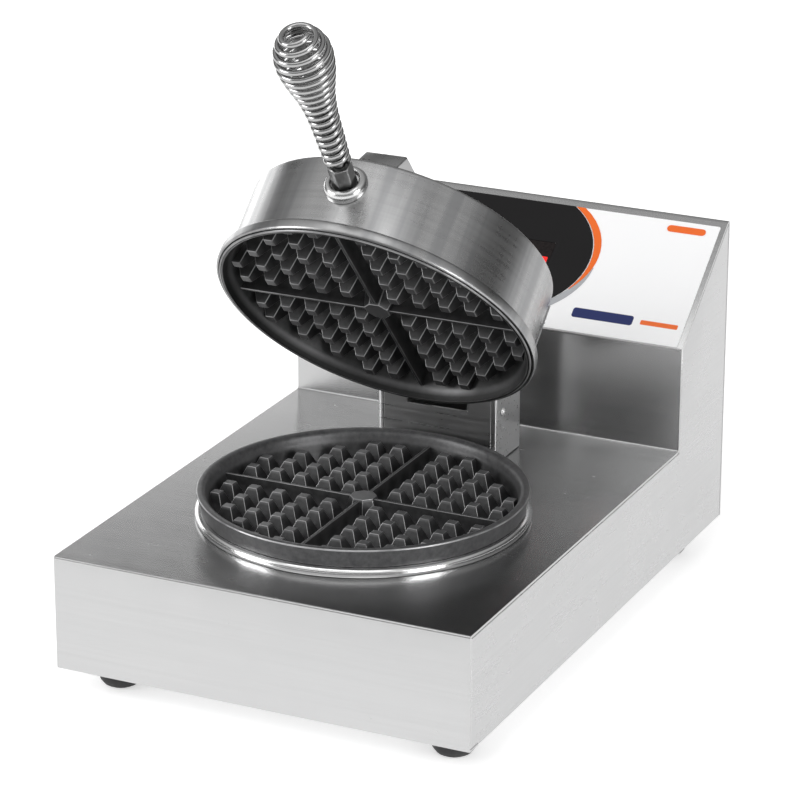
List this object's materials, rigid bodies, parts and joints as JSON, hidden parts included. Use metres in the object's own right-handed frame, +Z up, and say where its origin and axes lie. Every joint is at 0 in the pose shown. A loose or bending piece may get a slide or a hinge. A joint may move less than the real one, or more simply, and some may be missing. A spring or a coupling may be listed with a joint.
{
  "type": "waffle baker",
  "caption": "Countertop round waffle baker with a stepped steel housing, cast cell grids and a hinged drum-shaped lid on a coiled-wire handle.",
  "frame": {"origin": "on the plane the feet rest on, under the middle of the bounding box", "axes": "+X to the user's right, +Y to the back (the control panel's side), +Z up"},
  "size_m": [0.2666, 0.4006, 0.4095],
  "materials": {
    "body_wrap": "brushed, satin",
    "side_panel_left": "brushed, satin",
    "side_panel_right": "brushed, satin",
    "rear_panel": "brushed, satin",
    "bottom_cover": "aluminised sheet",
    "foot_front_left": "matt",
    "foot_front_right": "matt",
    "foot_rear_left": "matt",
    "foot_rear_right": "matt",
    "control_label": "white film",
    "accent_band": "orange film",
    "shade_band": "grey film",
    "notice_blank": "orange film, blank",
    "oval_panel": "black film",
    "display_window": "tinted window",
    "key_left": "moulded",
    "key_middle": "moulded",
    "key_right": "moulded",
    "lower_grid": "dark non-stick coating on a sand casting",
    "lower_ring": "polished",
    "lower_heater": "heat-darkened sheath",
    "lower_insulation": "mineral wool",
    "heat_pan": "aluminised sheet",
    "sensor_bulb": "drawn tube",
    "hinge_tower": "brushed, satin",
    "tower_front_plate": "brushed, satin",
    "tower_screw_left": "polished",
    "tower_screw_right": "polished",
    "hinge_pin": "polished",
    "spacer_left": "zinc plated",
    "spacer_right": "zinc plated",
    "control_board": "circuit board",
    "power_relay": "moulded",
    "terminal_block": "moulded",
    "cord_inlet": "moulded",
    "rear_screw_1": "zinc plated",
    "rear_screw_2": "zinc plated",
    "rear_screw_3": "zinc plated",
    "rear_screw_4": "zinc plated",
    "lid_drum": "brushed, satin",
    "lid_flange": "brushed, satin",
    "upper_grid": "dark non-stick coating on a sand casting",
    "upper_heater": "heat-darkened sheath",
    "upper_insulation": "mineral wool",
    "lap_strip": "brushed, satin",
    "rivet_low": "polished",
    "rivet_high": "polished",
    "lid_arm": "brushed, satin",
    "handle_ferrule": "polished",
    "handle_hex": "brushed, satin",
    "handle_rod": "zinc plated",
    "handle_coil": "bright wire"
  },
  "bodies": {
    "base": {"body_wrap": "body_wrap", "side_panel_left": "side_panel_left", "side_panel_right": "side_panel_right", "rear_panel": "rear_panel", "bottom_cover": "bottom_cover", "foot_front_left": "foot_front_left", "foot_front_right": "foot_front_right", "foot_rear_left": "foot_rear_left", "foot_rear_right": "foot_rear_right", "control_label": "control_label", "accent_band": "accent_band", "shade_band": "shade_band", "notice_blank": "notice_blank", "oval_panel": "oval_panel", "display_window": "display_window", "lower_grid": "lower_grid", "lower_ring": "lower_ring", "lower_heater": "lower_heater", "lower_insulation": "lower_insulation", "heat_pan": "heat_pan", "sensor_bulb": "sensor_bulb", "hinge_tower": "hinge_tower", "tower_front_plate": "tower_front_plate", "tower_screw_left": "tower_screw_left", "tower_screw_right": "tower_screw_right", "hinge_pin": "hinge_pin", "spacer_left": "spacer_left", "spacer_right": "spacer_right", "control_board": "control_board", "power_relay": "power_relay", "terminal_block": "terminal_block", "cord_inlet": "cord_inlet", "rear_screw_1": "rear_screw_1", "rear_screw_2": "rear_screw_2", "rear_screw_3": "rear_screw_3", "rear_screw_4": "rear_screw_4"},
    "lid": {"lid_drum": "lid_drum", "lid_flange": "lid_flange", "upper_grid": "upper_grid", "upper_heater": "upper_heater", "upper_insulation": "upper_insulation", "lap_strip": "lap_strip", "rivet_low": "rivet_low", "rivet_high": "rivet_high", "lid_arm": "lid_arm", "handle_ferrule": "handle_ferrule", "handle_hex": "handle_hex", "handle_rod": "handle_rod", "handle_coil": "handle_coil"},
    "key_left": {"key_left": "key_left"},
    "key_middle": {"key_middle": "key_middle"},
    "key_right": {"key_right": "key_right"}
  },
  "joints": [
    {"name": "lid_hinge", "type": "hinge", "parent": "base", "child": "lid", "pos_m": [0, 0.0571, 0.1412], "axis": [-1, 0, 0], "range_deg": [-48, 47]},
    {"name": "key_left_press", "type": "slide", "parent": "base", "child": "key_left", "axis": [0, 0.6259, -0.7799], "range_m": [0, 0.0008], "stiffness_N_per_m": 1500, "springref_m": -0.0007},
    {"name": "key_middle_press", "type": "slide", "parent": "base", "child": "key_middle", "axis": [0, 0.6259, -0.7799], "range_m": [0, 0.0008], "stiffness_N_per_m": 1500, "springref_m": -0.0007},
    {"name": "key_right_press", "type": "slide", "parent": "base", "child": "key_right", "axis": [0, 0.6259, -0.7799], "range_m": [0, 0.0008], "stiffness_N_per_m": 1500, "springref_m": -0.0007}
  ]
}
